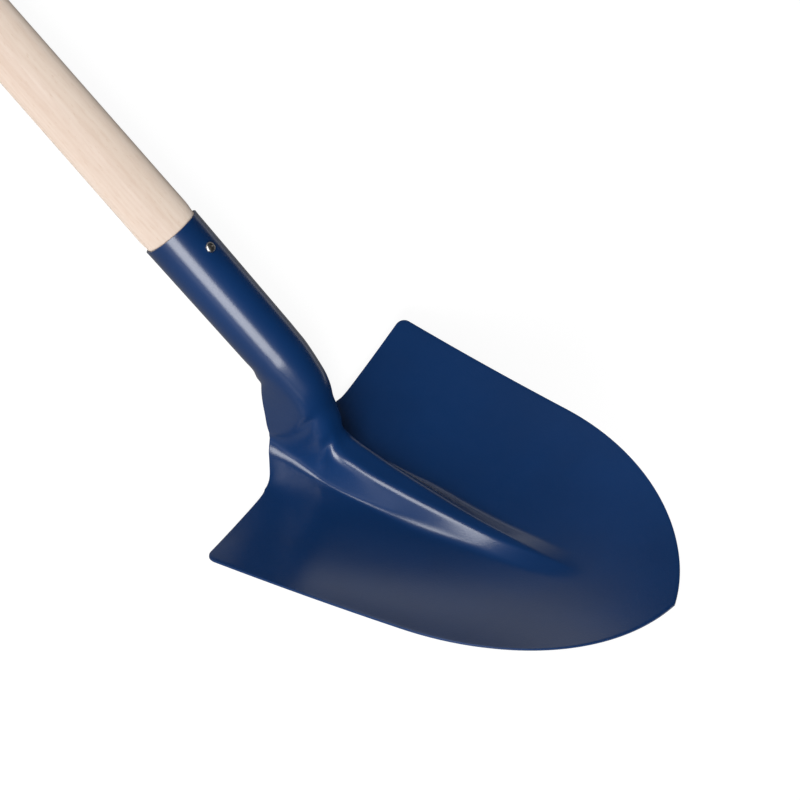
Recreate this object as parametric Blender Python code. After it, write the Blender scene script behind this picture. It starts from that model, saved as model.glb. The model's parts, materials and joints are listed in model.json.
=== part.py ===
"""A pointed shovel: a head pressed and rolled from one steel sheet, a long wooden handle and a screw.

The head is laid out in its own frame. X runs from the heel of the blade to its tip, Y across the
blade, and Z up from its upper face. The socket leaves the heel backwards and upwards. Places in the
neck and the socket are given along the socket's axis, from the heel line, and square to that axis.
The whole shovel then lies on its back, on the root of its neck and the end of its handle.
"""

import math

import bmesh
import bpy
import numpy as np
from mathutils import Matrix, Vector

# Sizes are in millimetres and angles in degrees, and the model is in metres.
MM = 0.001

# The blade's outline: straight sides that draw in a little, then an elliptic nose with a blunt point.
BLADE_WIDTH = 269.0
BLADE_LENGTH = 298.0
NOSE_CENTRE = (124.0, -29.0)
NOSE_HALF_AXES = (177.5, 147.5)
CORNER_RADIUS = 7.0
SHEET = 1.6
HEEL_BOW = 2.8
HEEL_FILL = 1.6
HEEL_FILL_WIDTH = 4.0

# How the root of the neck rises behind the blade: by how much, then where this starts and over how far
# it grows or fades, going back along the blade, out to the side and up.
ROOT_RISE = 11.0
RISE_BACK = (30.0, 65.0)
RISE_OUT = (16.0, 34.0)
RISE_UP = (2.0, 28.0)

# The blade's dish: how far its sides and its tip rise over the middle of the heel, and how far its
# middle sags below that.
SIDE_RISE = 18.0
SIDE_RISE_GAIN = 0.52
TIP_RISE = 24.6
SAG = 6.0

# The socket: a slightly conical tube rolled round from both sides, with its seam at the back.
SOCKET_TILT = 39.7
SOCKET_AXIS_HEIGHT = 51.75
SOCKET_MOUTH = 191.6
SOCKET_RADIUS = 22.5
SOCKET_TAPER = 0.0115
SEAM_HALF_GAP = 0.6
NECK_END = 85.0

# The front line of the head, seen from the side, from the end of the rib back to the socket: (x, z).
FRONT_LINE = (
    (217.5, 9.7),
    (211.0, 9.8),
    (204.0, 9.3),
    (197.0, 8.6),
    (187.0, 8.2),
    (177.0, 7.9),
    (165.0, 7.8),
    (150.0, 8.0),
    (141.0, 8.4),
    (127.0, 9.4),
    (118.0, 10.3),
    (107.0, 11.5),
    (96.0, 12.6),
    (85.0, 13.9),
    (76.0, 15.1),
    (68.0, 16.1),
    (60.0, 17.5),
    (45.0, 21.1),
    (37.0, 23.3),
    (31.5, 26.5),
    (28.3, 31.0),
    (26.0, 36.5),
    (24.0, 43.0),
    (21.5, 50.0),
    (18.2, 57.9),
    (15.4, 67.0),
    (12.5, 74.5),
    (9.5, 80.3),
    (5.2, 86.1),
    (-3.1, 95.9),
    (-18.8, 110.5),
    (-30.2, 120.2),
)

# The rib and the foot of the neck, by the place of their base along the blade:
# (place, half the flat top, radius of the shoulder, angle of the wall, radius of the foot).
RIB_BENDS = (
    (0.0, 2.8, 11.4, 85.0, 8.5),
    (10.0, 3.6, 10.6, 82.0, 7.3),
    (20.0, 4.6, 9.6, 77.0, 5.8),
    (30.0, 5.3, 8.7, 71.0, 5.0),
    (45.0, 5.4, 8.0, 64.5, 5.0),
    (60.0, 4.9, 8.3, 60.5, 5.5),
    (76.0, 4.1, 8.8, 57.0, 7.0),
    (97.0, 3.1, 9.0, 50.0, 13.0),
    (127.0, 1.9, 8.4, 41.0, 14.0),
    (141.0, 1.6, 8.0, 35.5, 15.0),
    (153.0, 1.3, 8.0, 31.0, 15.0),
    (172.0, 0.9, 8.0, 22.0, 14.0),
    (191.0, 0.4, 6.0, 12.5, 14.0),
    (204.0, 0.3, 5.0, 9.0, 12.0),
    (213.0, 0.2, 4.0, 7.0, 8.0),
)

# The neck, by the place along the socket's axis: (place, half the flat top, radius of the shoulder,
# angle of the wall, turn of the wall further down, length of the wall).
NECK_BENDS = (
    (0.0, 2.8, 11.4, 85.0, 0.0, 63.4),
    (4.5, 2.5, 11.9, 86.0, 0.0, 57.6),
    (9.0, 2.3, 12.5, 87.0, 0.0, 55.2),
    (13.0, 2.1, 12.9, 88.0, 0.0, 53.4),
    (17.0, 1.8, 13.4, 89.0, 0.0, 51.8),
    (21.0, 1.6, 14.1, 90.0, 0.0, 49.8),
    (26.0, 1.4, 14.9, 90.0, 0.0, 46.0),
    (38.0, 0.8, 16.7, 90.0, 2.0, 40.4),
    (49.0, 0.3, 18.2, 90.0, 5.0, 33.0),
    (60.0, 0.0, 19.6, 90.0, 11.0, 23.5),
    (64.0, 0.0, 20.0, 90.0, 15.5, 19.3),
    (68.0, 0.0, 20.5, 90.0, 24.0, 15.6),
    (73.0, 0.0, 21.0, 90.0, 34.0, 16.5),
    (78.0, 0.0, 20.9, 90.0, 50.0, 20.0),
    (82.0, 0.0, 21.1, 90.0, 70.0, 26.6),
    (85.0, 0.0, 21.27, 90.0, 88.4, 32.8),
)

# Behind the heel: the radius of the neck's foot, how far along the axis the neck still follows the
# blade's dish, and how far out its free edge leaves the heel line.
FOOT_RADIUS = 8.5
ROOT_END = 17.0
FREE_HEEL = 50.0

# How finely the sheet is laid out: points along the front line, rows across the sheet (a power over 1
# draws them together at the heel), and columns for each flat and bend, counted from the middle.
LINE_POINTS = 400
CORNER_ROWS = 3
BLADE_ROWS = 22
BLADE_ROW_POWER = 1.25
NECK_ROWS = 20
NECK_ROW_POWER = 1.3
SOCKET_ROWS = 3
BEND_COLUMNS = (1, 3, 2, 3, 3)
SIDE_COLUMNS = 5

# Where the rows change along the blade: the fan of leaning rows ends at the first place, the columns
# are spread evenly at the second, to a share of the width there, and the rows bow like the nose at the
# third. On the neck the columns are drawn even from one place on, over some distance.
FAN_END = 60.0
SPREAD_FROM = 150.0
SPREAD_SHARE = 0.85
NOSE_ROW = 205.0
EVEN_FROM = 14.0
EVEN_OVER = 40.0

# The furthest each stop between two bends may be along a row of the neck, as a share of the whole row.
LAST_SHARES = (1.0, 1.0, 1.0, 0.86, 0.95, 1.0)

# The handle, along the socket's axis from the heel. It is turned down a little to enter the socket.
HANDLE_START = 93.0
HANDLE_LENGTH = 1300.0
HANDLE_RADIUS = 21.3
HANDLE_END_RADIUS = 18.0
HANDLE_END_FLAT = 11.0
HANDLE_END_ROUND = 12.0
HANDLE_STEP = 9.0
HANDLE_CHAMFER = 2.0
HANDLE_SEGMENTS = 32
STEP_RINGS = 3
END_RINGS = 4
FIT_GAP = 0.3

# The screw through the front of the socket.
SCREW_PLACE = 168.3
SCREW_HEAD_RADIUS = 3.8
SCREW_HEAD_HEIGHT = 2.2
SCREW_SHANK_RADIUS = 2.0
SCREW_LENGTH = 25.0
SCREW_POINT = 4.0
SCREW_RIM_SHARE = 0.25
SCREW_SEGMENTS = 24
DOME_RINGS = 5
HOLE_TOP = 8.0
RECESS_WIDTH = 1.1
RECESS_LENGTH = 4.2
RECESS_DEPTH = 1.3

# How far the head's frame tips back when the shovel lies on its back, and the angle, in degrees, over
# which an edge is shaded sharp.
REST_TILT = 41.38
SHARP_ANGLE = 40.0

# The finishes, as (linear colour, roughness, metallic).
BLUE_COATING = ((0.002, 0.026, 0.104), 0.3, 0.0)
PALE_BEECH = ((0.64, 0.54, 0.46), 0.6, 0.0)
SCREW_STEEL = ((0.62, 0.60, 0.57), 0.4, 1.0)


def read(table, at, column):
    """A column of a table at one place, along a smooth curve that doesn't swing past its entries."""
    places = [row[0] for row in table]
    sizes = [row[column] for row in table]
    if at <= places[0]:
        return sizes[0]
    if at >= places[-1]:
        return sizes[-1]
    slopes = [(sizes[k + 1] - sizes[k]) / (places[k + 1] - places[k]) for k in range(len(sizes) - 1)]
    i = max(k for k in range(len(slopes)) if places[k] <= at)

    def tangent(k):
        if k == 0 or k == len(slopes):
            return slopes[min(k, len(slopes) - 1)]
        before, after = slopes[k - 1], slopes[k]
        return 0.0 if before * after <= 0 else 2 * before * after / (before + after)

    step = places[i + 1] - places[i]
    t = (at - places[i]) / step
    return (
        (1 + 2 * t) * (1 - t) ** 2 * sizes[i]
        + t * (1 - t) ** 2 * step * tangent(i)
        + t * t * (3 - 2 * t) * sizes[i + 1]
        - t * t * (1 - t) * step * tangent(i + 1)
    )


def ease(share):
    """A share from 0 to 1 that starts and ends gently."""
    t = min(max(share, 0.0), 1.0)
    return t * t * (3 - 2 * t)


def mix(a, b, share):
    """A value between two, by a share from 0 to 1."""
    return a + (b - a) * share


def steps(start, end, count, power=1.0):
    """Values after the start and up to the end, which lie closer at the start for a power over 1."""
    return [mix(start, end, (k / count) ** power) for k in range(1, count + 1)]


def socket_radius(place):
    """The outer radius of the socket."""
    return SOCKET_RADIUS - SOCKET_TAPER * (SOCKET_MOUTH - place)


def on_axis(place, height, side=0.0):
    """A point given by its place along the socket's axis, its height square to it, and its side."""
    tilt = math.radians(SOCKET_TILT)
    x = height * math.sin(tilt) - place * math.cos(tilt)
    z = height * math.cos(tilt) + place * math.sin(tilt)
    return Vector((x, side, z))


def front_line():
    """The front line as a dense smooth curve, from the rib's end to the mouth of the socket."""
    travelled = [0.0]
    for a, b in zip(FRONT_LINE, FRONT_LINE[1:]):
        travelled.append(travelled[-1] + math.dist(a, b))
    table = [(s, x, z) for s, (x, z) in zip(travelled, FRONT_LINE)]
    stops = [travelled[-1] * k / LINE_POINTS for k in range(LINE_POINTS + 1)]
    points = [(read(table, s, 1), read(table, s, 2)) for s in stops]
    mouth = on_axis(SOCKET_MOUTH, SOCKET_AXIS_HEIGHT + SOCKET_RADIUS)
    return np.array(points + [(mouth.x, mouth.z)])


LINE = front_line()


def crossing(start, tilt):
    """How far the front line is from a point (x, z), in a direction that leans back by this tilt."""
    offset = LINE - np.array(start)
    beside = offset[:, 0] * math.cos(tilt) - offset[:, 1] * math.sin(tilt)
    ahead = offset[:, 0] * math.sin(tilt) + offset[:, 1] * math.cos(tilt)
    return float(np.interp(0.0, beside[::-1], ahead[::-1]))


def nose_join():
    """Where the straight side meets the nose's ellipse, which it touches: (x, half the width)."""
    along = -NOSE_CENTRE[0] / NOSE_HALF_AXES[0]
    across = (BLADE_WIDTH / 2 - NOSE_CENTRE[1]) / NOSE_HALF_AXES[1]
    angle = math.atan2(across, along) - math.acos(1 / math.hypot(along, across))
    x = NOSE_CENTRE[0] + NOSE_HALF_AXES[0] * math.cos(angle)
    return x, NOSE_CENTRE[1] + NOSE_HALF_AXES[1] * math.sin(angle)


def half_width(x):
    """Half the width of the blade at a place along it."""
    join, join_width = nose_join()
    if x >= join:
        along = (x - NOSE_CENTRE[0]) / NOSE_HALF_AXES[0]
        return NOSE_CENTRE[1] + NOSE_HALF_AXES[1] * math.sqrt(1 - along * along)
    rounding = max(CORNER_RADIUS - x, 0.0)
    inset = CORNER_RADIUS - math.sqrt(CORNER_RADIUS**2 - rounding**2)
    return mix(BLADE_WIDTH / 2, join_width, x / join) - inset


def nose_x(y):
    """The place along the blade at which the nose is this far from the middle."""
    across = (y - NOSE_CENTRE[1]) / NOSE_HALF_AXES[1]
    return NOSE_CENTRE[0] + NOSE_HALF_AXES[0] * math.sqrt(1 - across * across)


def dish(x, y):
    """The height of the blade's face without its rib."""
    across = 2 * y / BLADE_WIDTH
    along = x / BLADE_LENGTH
    sag = SAG * math.sin(math.pi * along) ** 2 * (1 - (y / half_width(x)) ** 2)
    return SIDE_RISE * across**2 * (1 + SIDE_RISE_GAIN * along) + TIP_RISE * along**2 - sag


def walk(strip, distance):
    """Where a strip of sheet, bent part by part, is after a distance: how far out and how far down."""
    out, down, heading = 0.0, 0.0, 0.0
    for length, turn in strip:
        step = min(distance, length)
        angle = turn * step / length if length > 0 else 0.0
        if abs(angle) < 1e-6:
            out += step * math.cos(heading)
            down += step * math.sin(heading)
        else:
            radius = step / angle
            out += radius * (math.sin(heading + angle) - math.sin(heading))
            down += radius * (math.cos(heading) - math.cos(heading + angle))
        heading += angle
        distance -= step
        if distance <= 0:
            break
    return out, down


def rib_strip(x, height):
    """The flats and bends, as (length, turn), from the top of a rib of this height to the blade's face."""
    flat, shoulder, slope, foot = (read(RIB_BENDS, x, column) for column in (1, 2, 3, 4))
    gentlest = math.acos(1 - min(height / (shoulder + foot), 1.0))
    angle = min(math.radians(slope), gentlest)
    drop = height - (shoulder + foot) * (1 - math.cos(angle))
    wall = drop / math.sin(angle) if angle > 1e-6 else 0.0
    return [(flat, 0.0), (shoulder * angle, angle), (wall, 0.0), (foot * angle, -angle)]


def column_stops(strip, width):
    """The distances along a strip at which its parts start, and the one at which it is this far out."""
    stops = [0.0]
    for length, _ in strip:
        stops.append(stops[-1] + length)
    return stops + [stops[-1] + width - walk(strip, stops[-1])[0]]


def spread(stops):
    """The distances of the columns: a few even steps for each part between two stops."""
    found = [stops[0]]
    for a, b, count in zip(stops, stops[1:], BEND_COLUMNS):
        found += steps(a, b, count)
    return found


def rib_height(x):
    """The height of the rib over the blade's face, on the blade proper."""
    return max(crossing((x, dish(x, 0.0)), 0.0), 0.0) if x < FRONT_LINE[0][0] else 0.0


def rib_drop(x, height, out):
    """How far the rib's face lies under its top, this far out from the middle."""
    strip = rib_strip(x, height)
    (flat, _), (bend, angle), (wall, _), (foot, _) = strip
    if out <= flat or angle < 1e-6:
        return 0.0 if out <= flat else height
    shoulder_out, shoulder_down = walk(strip, flat + bend)
    if out <= shoulder_out:
        radius = bend / angle
        return radius - math.sqrt(radius**2 - (out - flat) ** 2)
    wall_out = shoulder_out + wall * math.cos(angle)
    if out <= wall_out:
        return shoulder_down + (out - shoulder_out) * math.tan(angle)
    radius = foot / angle
    left = max(wall_out + radius * math.sin(angle) - out, 0.0)
    return height - radius + math.sqrt(radius**2 - left**2)


def rib_outs(x):
    """How far out the columns are that follow the bends of the rib."""
    strip = rib_strip(x, rib_height(x))
    whole = strip + [(BLADE_WIDTH, 0.0)]
    return [walk(whole, s)[0] for s in spread(column_stops(strip, FREE_HEEL))]


def face_point(x, y):
    """A point on the face of the blade, on its rib where the rib reaches so far out."""
    height = rib_height(x)
    return Vector((x, y, dish(x, y) + height - rib_drop(x, height, y)))


def fan_row(x):
    """A row at the foot of the neck. It leans back by more, the nearer it is to the heel."""
    tilt = math.radians(SOCKET_TILT) * (1 - x / FAN_END)
    height = crossing((x, dish(x, 0.0)), tilt)
    strip = rib_strip(x, height)
    whole = strip + [(BLADE_WIDTH, 0.0)]
    row = []
    for s in spread(column_stops(strip, FREE_HEEL)):
        out, down = walk(whole, s)
        rise = max(height - down, 0.0)
        row.append(Vector((x + rise * math.sin(tilt), out, dish(x, out) + rise * math.cos(tilt))))
    for out in steps(FREE_HEEL, half_width(x), SIDE_COLUMNS):
        row.append(Vector((x, out, dish(x, out))))
    return [settled(point, x / FAN_END) for point in row]


def settled(point, gone):
    """A point near the heel line, where it bows back and the root of the neck rises.

    The bow fades as gone, the share of the way from that line, goes from 0 to 1.
    """
    beside = ease((point.y - FREE_HEEL / 2) / (FREE_HEEL / 2))
    bow = HEEL_BOW * (1 - (2 * point.y / BLADE_WIDTH) ** 2) * beside
    fill = HEEL_FILL * math.exp(-abs(point.y - FREE_HEEL) / HEEL_FILL_WIDTH)
    rise = ROOT_RISE * ease((RISE_BACK[0] - point.x) / RISE_BACK[1])
    rise *= 1 - ease((point.y - RISE_OUT[0]) / RISE_OUT[1])
    rise *= 1 - ease((point.z - RISE_UP[0]) / RISE_UP[1])
    return point + Vector((-(bow + fill) * (1 - min(gone, 1.0)) ** 2, 0.0, rise))


def blade_row(x):
    """A row across the blade. It bows towards the tip by more, the nearer it is to the nose."""
    side = half_width(x)
    even = ease((x - FAN_END) / (SPREAD_FROM - FAN_END))
    bulge = ease((x - FAN_END) / (NOSE_ROW - FAN_END))
    share = SPREAD_SHARE * side / half_width(SPREAD_FROM)
    outs = [mix(own, wide * share, even) for own, wide in zip(rib_outs(x), rib_outs(SPREAD_FROM))]
    outs += steps(outs[-1], side, SIDE_COLUMNS)
    ahead = [bulge * (nose_x(out / side * half_width(NOSE_ROW)) - NOSE_ROW) for out in outs]
    return [face_point(x + more, out) for more, out in zip(ahead, outs)]


def neck_strip(place):
    """The flats and bends of the neck or socket, how far its free edge is along them, and their top."""
    if place > NECK_END:
        radius = socket_radius(place)
        quarter = (radius * math.pi / 2, math.pi / 2)
        strip = [(0.0, 0.0), quarter, quarter, (0.0, 0.0)]
        return strip, radius * math.pi - SEAM_HALF_GAP, SOCKET_AXIS_HEIGHT + radius
    flat, shoulder, slope, turn, wall = (read(NECK_BENDS, place, column) for column in (1, 2, 3, 4, 5))
    angle = math.radians(slope)
    start = on_axis(place, 0.0)
    top = crossing((start.x, start.z), math.radians(SOCKET_TILT))
    depth = top + place * math.tan(math.radians(SOCKET_TILT))
    above_foot = (depth - (shoulder + FOOT_RADIUS) * (1 - math.cos(angle))) / math.sin(angle)
    strip = [(flat, 0.0), (shoulder * angle, angle)]
    if above_foot < wall:
        strip += [(above_foot, 0.0), (FOOT_RADIUS * angle, -angle)]
    else:
        strip += [(wall, math.radians(turn)), (0.0, 0.0)]
    return strip, flat + shoulder * angle + wall, top


def neck_row(place):
    """A row across the neck or round the socket, square to the socket's axis."""
    strip, edge, top = neck_strip(place)
    whole = strip + [(BLADE_WIDTH, 0.0)]
    stops = [min(s, edge * last) for s, last in zip(column_stops(strip, FREE_HEEL), LAST_SHARES)]
    own = spread(stops[:-1] + [edge])
    even = ease((place - EVEN_FROM) / EVEN_OVER)
    lift = 1 - ease(place / ROOT_END)
    row = []
    for k, distance in enumerate(own):
        out, down = walk(whole, mix(distance, edge * k / (len(own) - 1), even))
        point = on_axis(place, top - down, out) + Vector((0.0, 0.0, lift * dish(0.0, out)))
        row.append(settled(point, place / ROOT_END))
    return row


def head_rows():
    """All rows of the head's face from the nose to the mouth. Each runs from the middle to one edge."""
    corner = [CORNER_RADIUS * (1 - math.cos(math.pi / 2 * k / CORNER_ROWS)) for k in range(CORNER_ROWS + 1)]
    places = corner + steps(CORNER_RADIUS, NOSE_ROW, BLADE_ROWS, BLADE_ROW_POWER)
    rows = [fan_row(x) if x <= FAN_END else blade_row(x) for x in reversed(places)]
    places = steps(0.0, NECK_END, NECK_ROWS, NECK_ROW_POWER) + steps(NECK_END, SOCKET_MOUTH, SOCKET_ROWS)
    return rows + [neck_row(place) for place in places]


def head_face():
    """The front face of the head: a grid laid on the rows. Behind the heel only its middle is left."""
    rows = head_rows()
    half = sum(BEND_COLUMNS) + SIDE_COLUMNS
    mesh = bmesh.new()
    bmesh.ops.create_grid(mesh, x_segments=len(rows) - 1, y_segments=2 * half, size=1.0)
    spare = []
    for vertex in mesh.verts:
        i = round((vertex.co.x + 1) / 2 * (len(rows) - 1))
        j = round((vertex.co.y + 1) * half) - half
        if abs(j) >= len(rows[i]):
            spare.append(vertex)
            continue
        point = rows[i][abs(j)]
        vertex.co = Vector((point.x, math.copysign(point.y, j), point.z)) * MM
    bmesh.ops.delete(mesh, geom=spare, context="VERTS")
    bmesh.ops.recalc_face_normals(mesh, faces=mesh.faces)
    if sum(face.normal.z for face in mesh.faces) < 0:
        bmesh.ops.reverse_faces(mesh, faces=mesh.faces)
    return mesh


def turned(profile, segments):
    """A solid of revolution about Z, from its (radius, height) profile, which starts and ends at Z."""
    mesh = bmesh.new()
    chain = [mesh.verts.new((radius * MM, 0.0, height * MM)) for radius, height in profile]
    edges = [mesh.edges.new(pair) for pair in zip(chain, chain[1:])]
    bmesh.ops.spin(
        mesh,
        geom=chain + edges,
        axis=(0, 0, 1),
        cent=(0, 0, 0),
        angle=2 * math.pi,
        steps=segments,
        use_merge=True,
        use_duplicate=False,
    )
    bmesh.ops.remove_doubles(mesh, verts=mesh.verts, dist=1e-6)
    bmesh.ops.recalc_face_normals(mesh, faces=mesh.faces)
    return mesh


def handle_profile():
    """The handle's half outline from its end in the socket to its rounded far end."""
    mouth = SOCKET_MOUTH - HANDLE_START
    in_mouth = SOCKET_RADIUS - SHEET - FIT_GAP
    in_socket = socket_radius(HANDLE_START) - SHEET - FIT_GAP
    straight = HANDLE_LENGTH - HANDLE_END_ROUND
    profile = [(0.0, 0.0), (in_socket - HANDLE_CHAMFER, 0.0)]
    profile.append((in_socket + HANDLE_CHAMFER * SOCKET_TAPER, HANDLE_CHAMFER))
    profile.append((in_mouth, mouth))
    for share in steps(0.0, 1.0, STEP_RINGS):
        profile.append((mix(in_mouth, HANDLE_RADIUS, ease(share)), mouth + HANDLE_STEP * share))
    profile.append((HANDLE_END_RADIUS, straight))
    for share in steps(0.0, 1.0, END_RINGS):
        angle = math.pi / 2 * share
        radius = HANDLE_END_FLAT + (HANDLE_END_RADIUS - HANDLE_END_FLAT) * math.cos(angle)
        profile.append((radius, straight + HANDLE_END_ROUND * math.sin(angle)))
    return profile + [(0.0, HANDLE_LENGTH)]


def screw_profile():
    """The screw's half outline from its point up to its domed head, whose underside is at zero."""
    point = SCREW_POINT - SCREW_LENGTH
    profile = [(0.0, -SCREW_LENGTH), (SCREW_SHANK_RADIUS, point), (SCREW_SHANK_RADIUS, 0.0)]
    profile.append((SCREW_HEAD_RADIUS, 0.0))
    for share in steps(0.0, 1.0, DOME_RINGS)[:-1]:
        angle = math.pi / 2 * share
        height = mix(SCREW_RIM_SHARE, 1.0, math.sin(angle)) * SCREW_HEAD_HEIGHT
        profile.append((SCREW_HEAD_RADIUS * math.cos(angle), height))
    return profile + [(0.0, SCREW_HEAD_HEIGHT)]


def hole_profile():
    """The half outline of the clear hole for the screw, which reaches past its head."""
    clear = SCREW_SHANK_RADIUS + FIT_GAP
    point = SCREW_POINT - SCREW_LENGTH
    return [(0.0, -SCREW_LENGTH - FIT_GAP), (clear, point), (clear, HOLE_TOP), (0.0, HOLE_TOP)]


def add_object(name, mesh, material, parent, place=(0.0, 0.0, 0.0), turn=(0.0, 0.0, 0.0)):
    """An object of a finished bmesh, shaded smooth except over its sharp edges."""
    data = bpy.data.meshes.new(name)
    mesh.to_mesh(data)
    mesh.free()
    data.materials.append(material)
    data.shade_smooth()
    data.set_sharp_from_angle(angle=math.radians(SHARP_ANGLE))
    thing = bpy.data.objects.new(name, data)
    bpy.context.scene.collection.objects.link(thing)
    thing.parent = parent
    thing.location = place
    thing.rotation_euler = turn
    return thing


def add_cutter(name, mesh, parent, place, turn):
    """A shape that is only there to be cut out of others."""
    cutter = add_object(name, mesh, bpy.data.materials["screw_steel"], parent, place, turn)
    cutter.hide_render = True
    cutter.display_type = "WIRE"
    return cutter


def cut(thing, cutter):
    """Takes a cutter out of an object."""
    hole = thing.modifiers.new(cutter.name, "BOOLEAN")
    hole.operation = "DIFFERENCE"
    hole.object = cutter


def principled(name, colour, roughness, metallic):
    """A plain material."""
    material = bpy.data.materials.new(name)
    material.use_nodes = True
    shader = material.node_tree.nodes["Principled BSDF"]
    shader.inputs["Base Color"].default_value = (*colour, 1.0)
    shader.inputs["Roughness"].default_value = roughness
    shader.inputs["Metallic"].default_value = metallic
    return material


def block(length, width, height):
    """A block about its own middle."""
    mesh = bmesh.new()
    sizes = Matrix.Diagonal((length * MM, width * MM, height * MM, 1.0))
    bmesh.ops.create_cube(mesh, size=1.0, matrix=sizes)
    return mesh


def lay_down(shovel, pieces):
    """Moves the whole so that it rests on the ground, with the middle of its length and width at zero."""
    bpy.context.view_layer.update()
    graph = bpy.context.evaluated_depsgraph_get()
    corners = []
    for piece in pieces:
        solid = piece.evaluated_get(graph)
        places = np.array([solid.matrix_world @ vertex.co for vertex in solid.data.vertices])
        corners += [places.min(axis=0), places.max(axis=0)]
    low, high = np.min(corners, axis=0), np.max(corners, axis=0)
    shovel.location = (-(low[0] + high[0]) / 2, -(low[1] + high[1]) / 2, -low[2])


def main():
    for thing in list(bpy.data.objects):
        bpy.data.objects.remove(thing, do_unlink=True)
    blue = principled("blue_coating", *BLUE_COATING)
    beech = principled("pale_beech", *PALE_BEECH)
    steel = principled("screw_steel", *SCREW_STEEL)

    shovel = bpy.data.objects.new("shovel", None)
    bpy.context.scene.collection.objects.link(shovel)
    shovel.rotation_euler = (0.0, -math.radians(REST_TILT), 0.0)

    # The socket's axis points back from the heel, so that its own Z is the handle's direction.
    axis_turn = (0.0, math.radians(SOCKET_TILT) - math.pi / 2, 0.0)
    head = add_object("head", head_face(), blue, shovel)
    wall = head.modifiers.new("sheet", "SOLIDIFY")
    wall.thickness = SHEET * MM
    wall.offset = -1
    wall.use_even_offset = True

    start = on_axis(HANDLE_START, SOCKET_AXIS_HEIGHT) * MM
    handle = add_object("handle", turned(handle_profile(), HANDLE_SEGMENTS), beech, shovel, start, axis_turn)

    # The screw stands square to the socket on its front, so its own Z is the front's direction.
    front_turn = (0.0, math.radians(SOCKET_TILT), 0.0)
    under_head = SOCKET_AXIS_HEIGHT + socket_radius(SCREW_PLACE) + FIT_GAP
    seat = on_axis(SCREW_PLACE, under_head) * MM
    body = turned(screw_profile(), SCREW_SEGMENTS)
    screw = add_object("socket_screw", body, steel, shovel, seat, front_turn)
    hole = add_cutter("screw_hole", turned(hole_profile(), SCREW_SEGMENTS), shovel, seat, front_turn)
    cut(head, hole)
    cut(handle, hole)
    top = on_axis(SCREW_PLACE, under_head + SCREW_HEAD_HEIGHT) * MM
    across = block(RECESS_WIDTH, RECESS_LENGTH, 2 * RECESS_DEPTH)
    along = block(RECESS_LENGTH, RECESS_WIDTH, 2 * RECESS_DEPTH)
    cut(screw, add_cutter("slot_across", across, shovel, top, front_turn))
    cut(screw, add_cutter("slot_along", along, shovel, top, front_turn))
    lay_down(shovel, (head, handle))


main()
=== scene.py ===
"""How a pointed shovel looks: an enamelled steel head, a turned beech handle and a cross-slot screw.

The head is worked out in its own frame, in millimetres. X runs from the heel of the blade to its tip,
Y across the blade, and Z up from its upper face. Places in the neck and the socket are given along the
socket's axis, from the heel line, and square to that axis. Every finished piece lies in the model's own
frame, in metres, with the shovel on its back.
"""

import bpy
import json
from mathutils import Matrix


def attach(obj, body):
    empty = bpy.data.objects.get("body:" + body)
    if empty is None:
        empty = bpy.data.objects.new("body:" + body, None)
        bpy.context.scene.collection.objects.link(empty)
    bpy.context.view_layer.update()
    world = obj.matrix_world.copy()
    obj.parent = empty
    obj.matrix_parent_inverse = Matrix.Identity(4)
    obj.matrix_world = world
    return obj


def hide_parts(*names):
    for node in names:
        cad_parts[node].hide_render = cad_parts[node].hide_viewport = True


bl_info = {
    "name": "Pointed shovel",
    "version": (1, 0, 0),
    "blender": (4, 5, 0),
    "location": "3D View > Sidebar > Shovel",
    "description": "Makes a pointed shovel with its finishes, and a studio to show it in",
    "category": "Add Mesh",
}

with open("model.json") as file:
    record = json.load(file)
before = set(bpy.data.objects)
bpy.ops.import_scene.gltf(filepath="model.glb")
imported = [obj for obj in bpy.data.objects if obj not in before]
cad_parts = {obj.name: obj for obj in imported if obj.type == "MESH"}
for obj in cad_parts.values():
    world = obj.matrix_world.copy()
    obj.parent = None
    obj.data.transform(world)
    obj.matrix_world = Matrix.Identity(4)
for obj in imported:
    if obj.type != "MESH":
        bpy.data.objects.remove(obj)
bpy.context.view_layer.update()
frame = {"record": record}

import json
import math

import bmesh
import bpy
import numpy as np
from mathutils import Matrix, Vector

MM = 0.001
BODY = "root"
HANDLE_END = frame["record"]["mounts"][0]

# The steel sheet: how thick it is, and the radius of its rounded rim.
SHEET = 1.6
RIM_RADIUS = 0.45

# The blade's outline: straight sides that draw in a little, then an elliptic nose with a blunt point.
# At the heel it bows back, and fills the corner where the neck's free edge leaves it.
BLADE_WIDTH = 268.96
BLADE_LENGTH = 298.0
NOSE_CENTRE = (124.0, -29.0)
NOSE_HALF_AXES = (177.5, 147.5)
CORNER_RADIUS = 7.0
HEEL_BOW = 2.8
HEEL_FILL = 1.6
HEEL_FILL_WIDTH = 4.0

# How the root of the neck rises behind the blade: by how much, then where this starts and over how far
# it grows or fades, going back along the blade, out to the side and up.
ROOT_RISE = 11.0
RISE_BACK = (30.0, 65.0)
RISE_OUT = (16.0, 34.0)
RISE_UP = (2.0, 28.0)

# The blade's dish: how far its sides rise over its middle, and by what share more at the tip, how far
# the tip rises over the middle of the heel, and how far the middle of the blade sags below that line.
SIDE_RISE = 18.0
SIDE_RISE_GAIN = 0.52
TIP_RISE = 24.6
SAG = 6.0

# The socket: a slightly conical tube rolled round from both sides, with its seam at the back.
SOCKET_TILT = 39.7
SOCKET_AXIS_HEIGHT = 51.75
SOCKET_MOUTH = 191.6
SOCKET_RADIUS = 22.5
SOCKET_TAPER = 0.0115
SEAM_HALF_GAP = 0.6
NECK_END = 85.0

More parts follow.
